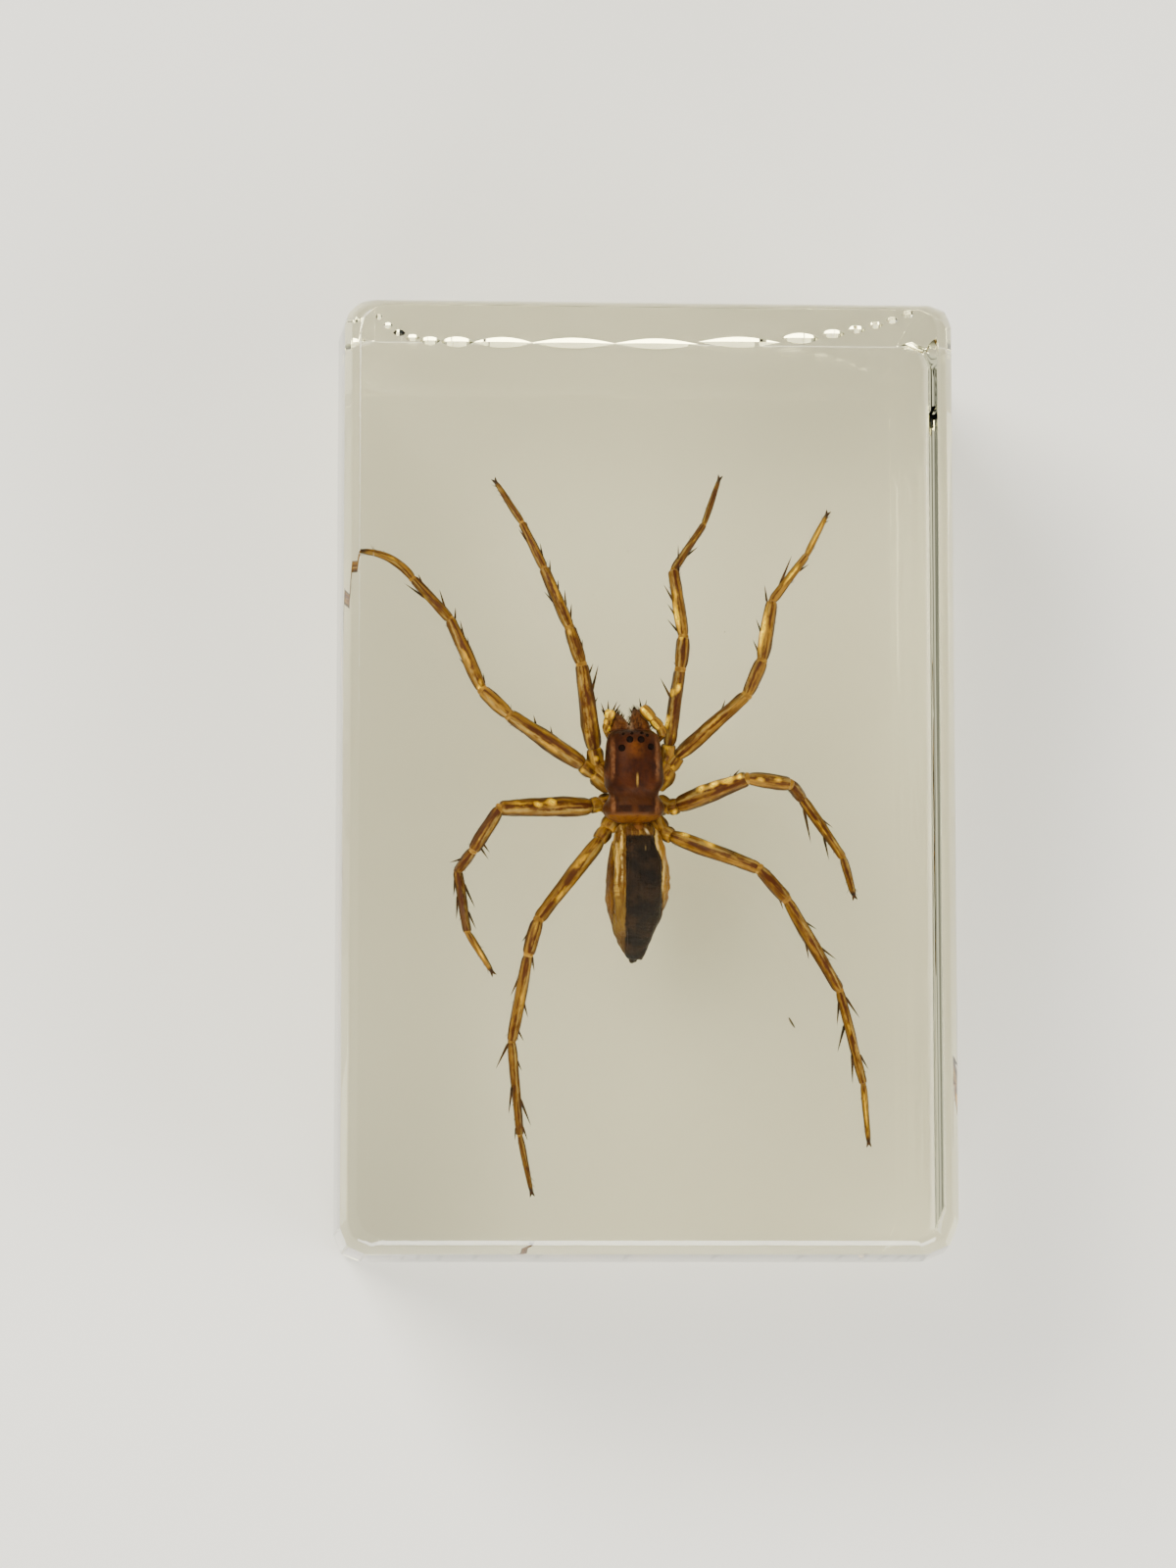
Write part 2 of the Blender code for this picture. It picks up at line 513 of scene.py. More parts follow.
legPlan = {
    "segments": ["femur", "patella", "tibia", "metatarsus", "tarsus", "palp_end"],
    "shapes": [              # share along, share of the width
        [(0.0, 0.62), (0.03, 0.82), (0.12, 0.95), (0.3, 1.0), (0.5, 0.96), (0.72, 0.85), (0.9, 0.79),
         (0.97, 0.8), (1.0, 0.6)],
        [(0.0, 0.66), (0.08, 0.86), (0.3, 0.98), (0.6, 1.0), (0.88, 0.94), (0.97, 0.86), (1.0, 0.66)],
        [(0.0, 0.66), (0.05, 0.84), (0.18, 0.98), (0.4, 1.0), (0.65, 0.94), (0.9, 0.87), (0.97, 0.86),
         (1.0, 0.66)],
        [(0.0, 0.7), (0.03, 0.92), (0.15, 1.0), (0.45, 0.92), (0.75, 0.84), (0.94, 0.8), (0.985, 0.8),
         (1.0, 0.6)],
        [(0.0, 0.7), (0.05, 0.92), (0.25, 1.0), (0.55, 0.9), (0.8, 0.78), (0.93, 0.66), (0.98, 0.46),
         (1.0, 0.22)],
        [(0.0, 0.7), (0.06, 0.92), (0.3, 1.0), (0.65, 1.0), (0.88, 0.88), (0.97, 0.62), (1.0, 0.3)],
    ],
    "sides": 10,
    "furrowDepth": 0.13,     # share of the width
    "furrowLength": 0.8,     # noise steps per mm along the leg
    "hipDepth": 0.3,
    "hipWidths": [0.88, 0.78],
    "hipHighlights": [            # painted highlights on the hips: x, y, radius, strength
        (-2.19, 1.25, 0.14, 1.0), (-2.84, 0.68, 0.14, 0.8), (-2.32, 0.42, 0.13, 0.9),
        (-2.02, 1.72, 0.1, 0.6), (1.1, 1.78, 0.15, 0.8), (1.38, 0.86, 0.15, 0.7),
        (1.14, 0.38, 0.14, 0.6), (1.46, -1.22, 0.12, 1.0), (-2.08, -1.25, 0.14, 0.8),
        (1.22, -2.62, 0.12, 0.8), (-1.95, -1.85, 0.13, 0.5), (-1.4, -2.1, 0.16, 0.6),
    ],
    "gleamAcross": 0.36,     # half width of a gleam, as a share of the half round
    "jointReach": 0.09,      # mm from a segment's end over which the joint's tone fades
    "tipStart": 0.86,        # share along the last segment where its dark tip starts
    "spineWidth": 0.11,      # mm at the base of a spine 1 mm long
    "downCount": 70,         # short hairs on each leg
    "downLength": (0.1, 0.26),
    "downWidth": 0.016,
    "clawLength": 0.3,
    "clawWidth": 0.13,
    "sleeveReach": 0.2,      # mm that a membrane runs into the segments on either side
}


class Limb:  # a straight or arched stretch of leg, in mm
    def __init__(self, start, end, width, bend=(0, 0, 0)):
        self.start = Vector(start)
        self.reach = Vector(end) - self.start
        self.width = width
        self.bend = Vector(bend)
        self.axis = self.reach.normalized()
        self.side = self.axis.cross(up).normalized()   # to the right as the leg points
        self.top = self.side.cross(self.axis)

    def centre(self, share):
        return self.start + self.reach * share + self.bend * math.sin(math.pi * share)

    def share(self, point):
        return (point - self.start).dot(self.axis) / self.reach.length

    def surface(self, share, angle, depth=0.9):
        out = self.side * math.cos(angle) + self.top * math.sin(angle)
        return self.centre(share) + out * self.width / 2 * depth, out


def skinValues(piece):  # each vertex with the two values that the leg skin's material reads
    for name in ("lie", "toneAndHighlight"):
        piece.data.attributes.new(name, "FLOAT_VECTOR", "POINT")
    values = piece.data.attributes
    return zip(piece.data.vertices, values["lie"].data, values["toneAndHighlight"].data)


def legSegment(limb, index, tone, gleams, seed, depth):
    stations = []
    for share, size in legPlan["shapes"][index]:
        radius = limb.width / 2 * size
        stations.append((limb.centre(share), radius, radius))
    piece = smoothed(grown(legPlan["segments"][index], stations, legPlan["sides"]), 2)
    for vert, lieValue, toneAndHighlightValue in skinValues(piece):
        point = vert.co / mm
        share = limb.share(point)
        out = point - limb.centre(share)
        out = (out - limb.axis * out.dot(limb.axis)).normalized()
        run = share * limb.reach.length
        across, height = out.dot(limb.side), out.dot(limb.top)
        lieValue.vector = (run + seed, across, height)
        # painted highlight: bright gold gleams on the upper side and on the hips' tops
        gleam = 0.0
        for place, acrossPlace, reach, strength in gleams:
            along = (share - place) * limb.reach.length / (reach * 1.3)
            far = along ** 2 + ((across - acrossPlace) / legPlan["gleamAcross"]) ** 2
            gleam = max(gleam, strength * math.exp(-far) if height > -0.3 else 0.0)
        if depth == legPlan["hipDepth"] and height > 0.0:
            for x, y, radius, strength in legPlan["hipHighlights"]:
                far = ((point.x - x) ** 2 + (point.y - y) ** 2) / radius ** 2
                gleam = max(gleam, strength * 0.7 * math.exp(-far))
        end = min(share, 1.0 - share) * limb.reach.length
        joint = math.exp(-(max(end, 0.0) / legPlan["jointReach"]) ** 2)
        tip = max(0.0, (share - legPlan["tipStart"]) / 0.14) if index == 4 else 0.0
        toneAndHighlightValue.vector = (tone, gleam, joint if index < 4 or share < 0.5 else 0.0)
        if tip > 0.0:
            toneAndHighlightValue.vector = (tone * (1 - tip), gleam * (1 - tip), -tip)
        spot = Vector((run * legPlan["furrowLength"] + seed, across * 1.4, height * 1.4))
        furrow = noise.noise(spot) + 0.5 * noise.noise(spot * 2.7)
        fade = min(1.0, max(end, 0.0) / 0.25)
        vert.co += out * furrow * fade * depth * limb.width / 2 * mm
    return piece


def sleeve(before, joint, after, width, seed):  # the soft membrane inside a joint
    before, joint, after = Vector(before), Vector(joint), Vector(after)
    entry = joint - (joint - before).normalized() * legPlan["sleeveReach"]
    leave = joint + (after - joint).normalized() * legPlan["sleeveReach"]
    stations = []
    for share, size in [(0.0, 0.5), (0.2, 0.8), (0.5, 0.84), (0.8, 0.8), (1.0, 0.5)]:
        place = entry.lerp(joint, share * 2) if share < 0.5 else joint.lerp(leave, share * 2 - 1)
        stations.append((place, width / 2 * size, width / 2 * size))
    piece = smoothed(grown("sleeve", stations, 10), 1)
    for vert, lieValue, toneAndHighlightValue in skinValues(piece):
        offset = vert.co / mm - joint
        lieValue.vector = (offset.x * 2 + seed, offset.y * 2, offset.z * 2)
        # a faint painted highlight on every membrane
        toneAndHighlightValue.vector = (0.9, 0.15, 1.2)
    return piece


def legMaterial():
    settings = {"Specular IOR Level": 0.12, "Emission Strength": 1.0}
    material, shader, field = newMaterial("amber_leg_cuticle", settings)
    lie, toneAndHighlight = attribute(field, "lie"), attribute(field, "toneAndHighlight")
    across, height = lie.part(1), lie.part(2)
    tone, gleam, joint = toneAndHighlight.part(0), toneAndHighlight.part(1), toneAndHighlight.part(2)
    streaks = lie.stretched((0.55, 2.2, 2.2)).clouds(1.0, 3.0, 0.6)
    mottle = lie.stretched((2.4, 1.6, 1.6)).clouds(1.0, 3.0, 0.6)
    grain = objectPlace(field).clouds(6.0, 2.0)

    gold = (tone + (streaks - 0.5) * 1.7 + (mottle - 0.5) * 0.6).ramp(0.1, 0.85)
    colour = gold.blend((0.08, 0.027, 0.003), (0.34, 0.165, 0.02))
    strand = across.size().ramp(0.62, 0.15) * (streaks + (mottle - 0.5) * 0.5).ramp(0.62, 0.42)
    colour = (strand * 0.85).blend(colour, (0.06, 0.011, 0.002))
    pale = across.near(-0.42, 0.38) * (streaks * 0.6 + mottle * 0.4).ramp(0.44, 0.58)
    colour = (pale * 0.7).blend(colour, (0.38, 0.26, 0.075))
    # painted shade: darker towards both sides of each segment's round
    edge = (across.size() + (mottle - 0.5) * 0.25).ramp(0.66, 0.93)
    colour = (edge * 0.85).blend(colour, (0.03, 0.01, 0.002))
    membrane = (joint + (mottle - 0.5) * 1.2).ramp(0.55, 1.1)
    colour = (membrane * 0.4).blend(colour, (0.36, 0.18, 0.025))
    tip = (joint * -1.0).ramp(0.0, 0.8)
    colour = tip.blend(colour, (0.02, 0.008, 0.003))
    # painted highlights: a gold surround, a bright metallic core with emitted glow, and small random
    # sparks on the upper side
    glow = (gleam + (mottle - 0.5) * 0.7).ramp(0.15, 0.5) * gleam.ramp(0.03, 0.15)
    shine = (gleam + (mottle - 0.5) * 0.9 + (streaks - 0.5) * 0.5).ramp(0.5, 0.78)
    shine = shine * gleam.ramp(0.08, 0.3)
    spark = (streaks * mottle).ramp(0.37, 0.43) * height.ramp(0.2, 0.7) * (1.0 - tip)
    colour = (glow * 0.9).blend(colour, (0.66, 0.33, 0.012))
    bright = shine.larger(spark * 0.4)
    colour = bright.blend(colour, (0.9, 0.58, 0.02))
    plug(colour, shader, "Base Color")
    plug(bright * 0.8, shader, "Metallic")
    plug((grain * 0.25 + 0.22) + bright * -0.08, shader, "Roughness")
    plug((shine * 0.4 + glow * 0.08).blend((0, 0, 0), (1.0, 0.68, 0.01)), shader, "Emission Color")
    plugBump(streaks * 1.2 + mottle * 0.6 + grain * 0.25, shader, 0.7, 0.05)
    return material


def spineSource():  # one bristle, 1 mm long along Z, copied for every spine, claw and palp bristle
    stations = []
    for share, size in [(0.0, 0.4), (0.08, 0.5), (0.45, 0.34), (0.8, 0.17), (1.0, 0.02)]:
        place = Vector((0.07 * share * share, 0.0, share))
        stations.append((place, size, size))
    return grown("bristle_source", stations, 5)


def downSource():
    stations = [((0, 0, 0), 0.5, 0.5), ((0.06, 0, 0.5), 0.36, 0.36), ((0.24, 0, 1.0), 0.04, 0.04)]
    return grown("hair_source", stations, 3)


def planted(source, root, direction, length, width):
    copy = source.copy()
    copy.data = source.data.copy()
    addToScene(copy)
    turn = direction.to_track_quat("Z", "X").to_matrix().to_4x4()
    size = Matrix.Diagonal((width, width, length, 1.0))
    copy.data.transform(Matrix.Translation(root * mm) @ turn @ size)
    return copy


def legBristles(name, limbs, plan, draws):
    copies = []
    for index, share, side, length, lean in plan["spines"]:
        limb = limbs[index]
        tilt = draws.uniform(0.05, 0.45)
        root, out = limb.surface(share, tilt if side < 0 else math.pi - tilt, 0.75)
        lean = math.radians(lean)
        direction = limb.axis * math.cos(lean) + out * math.sin(lean) + up * draws.uniform(0.0, 0.15)
        width = legPlan["spineWidth"] * (0.55 + 0.45 * length)
        copies.append(planted(spineSourcePiece, root, direction.normalized(), length * 1.12, width))
    for _ in range(legPlan["downCount"]):
        limb = draws.choice(limbs)
        root, out = limb.surface(draws.uniform(0.04, 0.94), draws.uniform(0, 2 * math.pi), 0.78)
        direction = limb.axis * draws.uniform(0.7, 1.2) + out * draws.uniform(0.4, 0.9)
        size = draws.uniform(*legPlan["downLength"]), legPlan["downWidth"]
        copies.append(planted(downSourcePiece, root, direction.normalized(), *size))
    tip = limbs[-1]
    for side in (-1, 1):
        root = tip.centre(0.97)
        direction = (tip.axis + tip.side * side * 0.42 - up * 0.1).normalized()
        size = legPlan["clawLength"], legPlan["clawWidth"]
        copies.append(planted(spineSourcePiece, root, direction, *size))
    return joined("spines_" + name, copies)


def spineMaterial():
    settings = {"Roughness": 0.4, "Specular IOR Level": 0.1}
    material, shader, worn = mottled("dark_bristle", settings, 3.0, 0.35,
                                     (0.02, 0.009, 0.004), (0.075, 0.032, 0.012))
    plugBump(worn, shader, 0.2, 0.01)
    return material


def limbChain(plan, shapes, seed):  # the segments of one leg or palp, with a membrane in each joint
    joints, widths = plan["joints"], plan["widths"]
    pieces, limbs = [], []
    for index, width in enumerate(widths):
        bend = plan.get("arch", (0, 0, 0)) if index == len(widths) - 1 else (0, 0, 0)
        limb = Limb(joints[index], joints[index + 1], width, bend)
        gleams = [gleam[1:] for gleam in plan["gleams"] if gleam[0] == index]
        step = seed + index * 6.0
        pieces.append(legSegment(limb, shapes[index], plan["tones"][index], gleams, step,
                                 legPlan["furrowDepth"]))
        limbs.append(limb)
        if index:
            narrow = min(width, widths[index - 1])
            pieces.append(sleeve(joints[index - 1], joints[index], joints[index + 1], narrow, step))
    return pieces, limbs


def spiderLeg(name, plan, number):
    seed = number * 37.0
    pieces, limbs = limbChain(plan, range(5), seed)
    hip = plan["hip"]
    for index, width in enumerate(legPlan["hipWidths"]):
        limb = Limb(hip[index], hip[index + 1], width)
        pieces.append(legSegment(limb, 1, 0.8, [], seed + 11.0 * index, legPlan["hipDepth"]))
    pieces.append(sleeve(hip[0], hip[1], hip[2], 0.8, seed))
    return joined("leg_" + name, pieces), limbs


# the body, head end towards +Y. stations are y, shift in x, half width, half height, z, in mm

body = {
    "axis": -0.44,           # the middle line in x
    "carapace": [
        (2.62, -0.12, 0.7, 0.26, 8.9), (2.52, -0.1, 0.98, 0.46, 8.95), (2.25, -0.06, 1.22, 0.62, 9.02),
        (1.6, -0.05, 1.3, 0.74, 9.06), (0.9, -0.03, 1.36, 0.78, 9.04), (0.2, -0.02, 1.4, 0.8, 9.0),
        (-0.12, -0.02, 1.36, 0.78, 8.98), (-0.45, -0.02, 1.05, 0.74, 8.92),
        (-0.78, -0.03, 1.34, 0.7, 8.84), (-1.12, -0.03, 1.5, 0.6, 8.74),
        (-1.42, -0.02, 1.36, 0.48, 8.66), (-1.66, -0.02, 1.0, 0.3, 8.6), (-1.8, 0.0, 0.6, 0.14, 8.58),
    ],
    "pedicel": [
        (-1.4, 0.14, 0.42, 0.24, 8.7), (-1.7, 0.16, 0.34, 0.24, 8.86), (-2.0, 0.18, 0.3, 0.24, 9.0),
        (-2.28, 0.18, 0.34, 0.24, 9.12), (-2.46, 0.18, 0.18, 0.12, 9.14),
    ],
    "abdomen": [
        (-1.66, 0.05, 0.42, 0.14, 8.5), (-1.78, 0.06, 0.72, 0.24, 8.5), (-2.05, 0.1, 0.94, 0.36, 8.52),
        (-2.35, 0.14, 1.06, 0.52, 8.54), (-2.62, 0.16, 1.16, 0.7, 8.56), (-3.0, 0.18, 1.28, 0.86, 8.58),
        (-3.6, 0.19, 1.41, 0.98, 8.56),
        (-4.3, 0.19, 1.48, 1.0, 8.54), (-4.95, 0.17, 1.48, 0.98, 8.52), (-5.5, 0.11, 1.42, 0.92, 8.48),
        (-6.2, 0.05, 1.2, 0.84, 8.44), (-6.8, 0.03, 0.97, 0.72, 8.38), (-7.3, 0.04, 0.75, 0.58, 8.32),
        (-7.7, 0.06, 0.55, 0.44, 8.26), (-7.96, 0.07, 0.42, 0.32, 8.22), (-8.1, 0.04, 0.26, 0.18, 8.2),
    ],
    "spinnerets": [          # start, end and radius of each, under the tip
        ((-0.5, -7.75, 8.18), (-0.53, -8.26, 8.14), 0.2),
        ((-0.16, -7.7, 8.18), (-0.1, -8.1, 8.14), 0.15),
        ((-0.36, -7.8, 8.02), (-0.37, -8.2, 7.96), 0.13),
    ],
    "sternum": [
        (1.45, 0.0, 0.3, 0.12, 7.72), (1.2, 0.0, 0.62, 0.2, 7.7), (0.4, 0.0, 0.92, 0.24, 7.66),
        (-0.5, 0.0, 0.8, 0.22, 7.66), (-1.3, 0.0, 0.42, 0.16, 7.7), (-1.6, 0.0, 0.18, 0.08, 7.72),
    ],
}


def bodyPart(name, sides, levels, boxy=1.0):
    rings = [((body["axis"] + shift, y, z), wide, tall) for y, shift, wide, tall, z in body[name]]
    piece = grown(name, rings, sides)
    if boxy != 1.0:
        squareRings(piece, rings, boxy)
    return smoothed(piece, levels)


def squareRings(piece, rings, boxy):  # pushes each ring's round outline towards a rounded box
    for vert in piece.data.vertices:
        place = vert.co / mm
        centre, wide, tall = min(rings, key=lambda ring: abs(ring[0][1] - place.y))
        across, height = (place.x - centre[0]) / wide, (place.z - centre[2]) / tall
        across = math.copysign(abs(across) ** boxy, across)
        height = math.copysign(abs(height) ** boxy, height)
        vert.co = Vector((centre[0] + across * wide, place.y, centre[2] + height * tall)) * mm


def carapaceMaterial():
    material, shader, field = newMaterial("mahogany_carapace", {"Specular IOR Level": 0.09})
    place = objectPlace(field)
    x, y, z = (place.part(index) for index in range(3))
    x = x - body["axis"]
    cloudy = place.clouds(1.0, 4.0, 0.62)
    grain = place.clouds(5.5, 3.0, 0.6)
    colour = cloudy.ramp(0.32, 0.68).blend((0.024, 0.0045, 0.0009), (0.068, 0.0145, 0.0018))
    behindEyes = x.near(0.03, 0.6) * y.near(1.62, 0.62) * (cloudy + grain * 0.5).ramp(0.45, 0.9)
    colour = (behindEyes * 0.9).blend(colour, (0.19, 0.055, 0.006))
    rear = y.ramp(-0.3, -0.8)
    colour = (rear * 0.6).blend(colour, (0.07, 0.02, 0.003))
    band = y.near(-1.16, 0.26).ramp(0.0, 0.6) * x.size().near(0.46, 0.55).ramp(0.0, 0.7)
    band = band * grain.ramp(0.2, 0.5)
    colour = (band * 0.9).blend(colour, (0.016, 0.0035, 0.001))
    margin = (y + (grain - 0.5) * 0.12).ramp(-1.36, -1.5)
    colour = (margin * grain.ramp(0.2, 0.6) * 0.85).blend(colour, (0.17, 0.062, 0.007))
    sides = (z - 9.05 + (cloudy - 0.5) * 0.3).ramp(0.1, -0.4)
    colour = (sides * x.size().ramp(0.6, 1.1) * 0.75).blend(colour, (0.115, 0.038, 0.004))
    wander = x.size() + (cloudy - 0.5) * 0.3 + (grain - 0.5) * 0.1
    stripWhere = y.near(1.15, 1.4).ramp(0.0, 0.6).larger(y.near(-0.95, 0.6).ramp(0.0, 0.6))
    inner = (wander - 0.84).near(0.0, 0.16) * stripWhere
    colour = (inner * 0.7).blend(colour, (0.02, 0.004, 0.0015))
    # painted sheen: a pale strip where the carapace's top turns down to its sides
    paintedSheen = (wander - 1.04).near(0.0, 0.17).ramp(0.1, 0.9) * stripWhere * grain.ramp(0.2, 0.7)
    colour = (paintedSheen * 0.6).blend(colour, (0.27, 0.11, 0.045))
    groove = x.near(0.1, 0.08) * y.near(0.15, 0.42) * grain.ramp(0.2, 0.55)
    colour = (groove * 0.85).blend(colour, (0.55, 0.32, 0.07))
    jaws = (y + (grain - 0.5) * 0.2).ramp(2.52, 2.68)
    brown = grain.ramp(0.3, 0.7).blend((0.08, 0.022, 0.004), (0.2, 0.07, 0.016))
    colour = (jaws * 0.9).blend(colour, brown)
    notch = x.near(-0.2, 0.24) * y.near(2.75, 0.32) * grain.ramp(0.2, 0.6)
    colour = (notch * 0.8).blend(colour, (0.5, 0.33, 0.22))
    colour = y.ramp(-1.85, -1.95).blend(colour, (0.19, 0.066, 0.015))
    plug(colour, shader, "Base Color")
    plug(grain * 0.25 + 0.26, shader, "Roughness")
    plugBump(cloudy * 1.5 + grain * 0.5, shader, 0.7, 0.07)
    return material


def abdomenMaterial():
    material, shader, field = newMaterial("dried_abdomen", {"Specular IOR Level": 0.12})
    place = objectPlace(field)
    x, y = place.part(0) - body["axis"], place.part(1)
    cloudy = place.clouds(1.3, 4.0, 0.62)
    grain = place.clouds(6.5, 3.0, 0.6)
    folds = place.stretched((4.2, 0.7, 1.6)).clouds(1.0, 3.0, 0.6)
    creases = place.stretched((1.2, 4.5, 1.2)).clouds(1.0, 3.0, 0.6)
    wander = x + (folds - 0.5) * 0.2 + (creases - 0.5) * 0.12

    colour = cloudy.ramp(0.35, 0.65).blend((0.0075, 0.0042, 0.003), (0.024, 0.0125, 0.0065))
    warmPatch = x.near(-0.12, 0.42) * y.near(-2.9, 1.0) * grain.ramp(0.3, 0.65)
    colour = (warmPatch * 0.7).blend(colour, (0.05, 0.022, 0.009))
    ochre = folds.ramp(0.4, 0.6).blend((0.13, 0.052, 0.005), (0.5, 0.29, 0.05))
    ridge = wander.near(-0.6, 0.08).larger(wander.near(-0.82, 0.06) * 0.7)
    ridge = ridge * y.near(-3.3, 1.9).ramp(0.0, 0.5)
    ochre = (ridge * (folds + creases * 0.6).ramp(0.6, 0.95) * 0.9).blend(ochre, (0.88, 0.66, 0.24))
    crossing = y.near(-4.9, 0.8).ramp(0.0, 0.5) * creases.ramp(0.52, 0.4)
    ochre = (crossing * 0.8).blend(ochre, (0.14, 0.052, 0.005))
    ochre = (y.ramp(-4.8, -5.6) * 0.8).blend(ochre, (0.13, 0.068, 0.012))
    ochre = (y.ramp(-6.2, -7.4) * 0.85).blend(ochre, (0.055, 0.026, 0.009))
    leftFold = wander.ramp(-1.0, -0.9) * wander.ramp(-0.38, -0.47)
    colour = leftFold.blend(colour, ochre)
    margin = wander.ramp(-0.94, -1.04)
    rust = folds.ramp(0.4, 0.65).blend((0.075, 0.024, 0.003), (0.2, 0.08, 0.008))
    rust = (y.ramp(-5.4, -6.6) * 0.7).blend(rust, (0.04, 0.017, 0.006))
    colour = margin.blend(colour, rust)
    front = (y + (grain - 0.5) * 0.15).ramp(-2.42, -2.28) * wander.ramp(0.95, 0.8)
    frontBrown = folds.ramp(0.4, 0.6).blend((0.1, 0.04, 0.006), (0.34, 0.17, 0.024))
    colour = front.blend(colour, frontBrown)
    shoulder = y.ramp(-3.3, -2.7) * wander.ramp(-0.38, -0.47)
    colour = shoulder.blend(colour, ochre)

    limit = y.ramp(-2.6, -3.7) * 0.33 + 0.93
    rightFold = (wander - limit).ramp(-0.02, 0.07)
    pale = folds.ramp(0.4, 0.62).blend((0.3, 0.14, 0.016), (0.66, 0.46, 0.15))
    pale = (wander - limit).ramp(0.12, 0.22).blend(pale, (0.24, 0.105, 0.01))
    pale = y.ramp(-4.7, -5.9).blend(pale, (0.075, 0.03, 0.007))
    colour = rightFold.blend(colour, pale)
    glint = x.near(0.49, 0.06) * y.near(-2.95, 0.2) * creases.ramp(0.3, 0.6)
    colour = (glint * 0.8).blend(colour, (0.4, 0.26, 0.1))
    whiteGlint = (x + y * 0.5 + 0.52).near(0.0, 0.12) * y.near(-2.18, 0.22) * grain.ramp(0.2, 0.5)
    colour = (whiteGlint * 0.9).blend(colour, (0.85, 0.66, 0.36))
    plug(colour, shader, "Base Color")
    plug(grain * 0.25 + 0.3, shader, "Roughness")
    plugBump(folds * 1.6 + creases + cloudy + grain * 0.5, shader, 0.8, 0.09)
    return material


def wrinkleAbdomen(piece):  # long folds down the flanks and creases across the back
    for vert in piece.data.vertices:
        place = vert.co / mm
        x = place.x - body["axis"]
        out = Vector((x - 0.15, 0.0, place.z - 8.5)).normalized()
        ends = min(1.0, (-1.7 - place.y) / 0.5, (place.y + 8.2) / 0.8)
        if ends <= 0:
            continue
        top = max(0.0, out.z)
        limit = 0.95 + 0.33 * min(1.0, max(0.0, (-2.6 - place.y) / 1.1))
        furrow = sum(math.exp(-((x - line) / 0.07) ** 2) for line in (-0.98, -0.42, limit))
        ridge = math.exp(-((x + 0.84) / 0.07) ** 2) + 0.7 * math.exp(-((x + 0.6) / 0.07) ** 2)
        crease = noise.noise(Vector((x * 1.1, place.y * 3.4, place.z * 1.1)))
        broad = noise.noise(Vector((x * 1.4 + 7, place.y * 0.5, place.z * 1.4)))
        flank = 1.0 if -1.0 < x < -0.4 or x > limit else 0.45
        push = -0.1 * furrow * top + 0.07 * ridge * top + 0.09 * crease * flank + 0.09 * broad
        vert.co += out * push * ends * mm


# the face: eyes, chelicerae and palps

face = {
    "eyes": [                # x, y and radius in mm; each sits on the carapace
        (-1.05, 1.63, 0.165), (-0.68, 2.03, 0.165), (-0.17, 2.03, 0.165), (0.28, 1.7, 0.155),
        (-0.98, 2.3, 0.075), (-0.58, 2.32, 0.075), (-0.12, 2.34, 0.085), (0.12, 2.24, 0.08),
    ],
    "eyeStand": 0.1,         # share of its radius that an eye's middle stands above the skin
    "cheliceraLeft": [((-1.08, 2.0, 8.7), 0.44), ((-1.06, 2.5, 8.7), 0.52), ((-1.14, 2.9, 8.58), 0.42),
                      ((-1.24, 3.22, 8.42), 0.25), ((-1.3, 3.42, 8.3), 0.07)],
    "cheliceraRight": [((-0.14, 2.0, 8.7), 0.44), ((-0.14, 2.55, 8.7), 0.54),
                       ((-0.22, 3.02, 8.58), 0.42), ((-0.32, 3.38, 8.42), 0.24),
                       ((-0.37, 3.6, 8.3), 0.07)],
    "hairCount": 170,        # on each chelicera
    "hairLength": (0.12, 0.3),
    "hairWidth": 0.022,
    "bristleSize": (0.46, 0.07),   # length and width of the palps' bristles
    "bristleHeight": 9.0,
    "palps": {
        "left": {
            "joints": [(-1.25, 1.9, 8.35), (-1.72, 2.6, 8.6), (-1.66, 2.86, 8.8), (-1.62, 3.1, 8.92),
                       (-1.54, 3.52, 8.95)],
            "widths": [0.46, 0.46, 0.48, 0.52],
            "tones": [0.6, 0.8, 0.8, 0.9],
            "gleams": [(3, 0.45, -0.6, 0.3, 1.0), (3, 0.5, 0.6, 0.2, 0.9), (2, 0.5, -0.5, 0.2, 0.9),
                       (3, 0.9, 0.0, 0.12, 0.8), (1, 0.5, 0.5, 0.15, 0.8)],
            "bristles": [(-1.84, 3.4, -0.35), (-1.64, 3.5, -0.05), (-1.42, 3.48, 0.45),
                         (-1.32, 3.4, 0.65), (-1.75, 3.2, -0.7)],
        },
        "right": {
            "joints": [(0.3, 1.9, 8.35), (0.92, 2.42, 8.7), (0.78, 2.7, 8.86), (0.42, 3.08, 8.98),
                       (-0.1, 3.66, 9.02)],
            "widths": [0.48, 0.5, 0.54, 0.58],
            "tones": [0.3, 0.5, 0.9, 1.0],
            "gleams": [(3, 0.2, -0.2, 0.35, 1.1), (3, 0.7, -0.2, 0.35, 1.1), (2, 0.6, -0.4, 0.3, 1.0)],
            "bristles": [(-0.12, 3.62, -0.2), (0.05, 3.55, 0.2)],
        },
    },
}


def faceEyes(carapace):
    copies = []
    for x, y, radius in face["eyes"]:
        _, spot, normal, _ = carapace.ray_cast(Vector((x, y, 12.0)) * mm, Vector((0, 0, -1)))
        centre = spot + normal * radius * face["eyeStand"] * mm
        deselectAll()
        bpy.ops.mesh.primitive_uv_sphere_add(segments=16, ring_count=10, radius=radius * mm,
                                             location=centre)
        mode("EDIT")
        selectAll()
        bpy.ops.transform.resize(value=(1, 1, 0.8), center_override=centre)
        mode("OBJECT")
        applyPlace()
        copies.append(named("eye"))
    return smoothed(joined("eyes", copies), 0)


